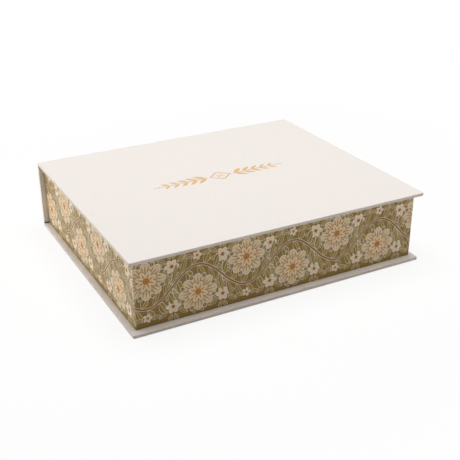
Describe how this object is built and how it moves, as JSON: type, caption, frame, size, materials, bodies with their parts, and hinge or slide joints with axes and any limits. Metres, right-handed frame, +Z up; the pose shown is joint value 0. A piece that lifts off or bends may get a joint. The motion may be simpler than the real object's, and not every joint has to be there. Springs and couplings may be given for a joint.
{
  "type": "keepsake box",
  "caption": "Book-style keepsake box: a board tray wrapped in printed paper, standing on an overhanging base, with a spine and a flat lid that folds back on a paper hinge.",
  "frame": {"origin": "centre of the underside of the base", "axes": "+X along the spine, +Y from the front to the spine, +Z up"},
  "size_m": [0.29, 0.245, 0.069],
  "materials": {
    "greyboard": "matte",
    "cover_paper": "matte",
    "lining_paper": "matte",
    "printed_paper": "matte",
    "stay_tape": "matte"
  },
  "bodies": {
    "tray": {"base_board": "greyboard", "base_cover": "cover_paper", "base_hinge": "cover_paper", "spine_board": "greyboard", "spine_cover": "cover_paper", "spine_lining": "lining_paper", "lid_hinge": "cover_paper", "front_wall": "greyboard", "back_wall": "greyboard", "left_wall": "greyboard", "right_wall": "greyboard", "floor_board": "greyboard", "corner_stays": "stay_tape", "tray_wrap": "printed_paper", "wall_lining": "lining_paper", "floor_lining": "lining_paper"},
    "lid": {"lid_board": "greyboard", "lid_cover": "cover_paper", "lid_lining": "lining_paper"}
  },
  "joints": [
    {"name": "lid_fold", "type": "hinge", "parent": "tray", "child": "lid", "pos_m": [0, 0.12265, 0.06545], "axis": [-1, 0, 0], "range_deg": [0, 180], "deforming": ["lid_hinge"]}
  ]
}
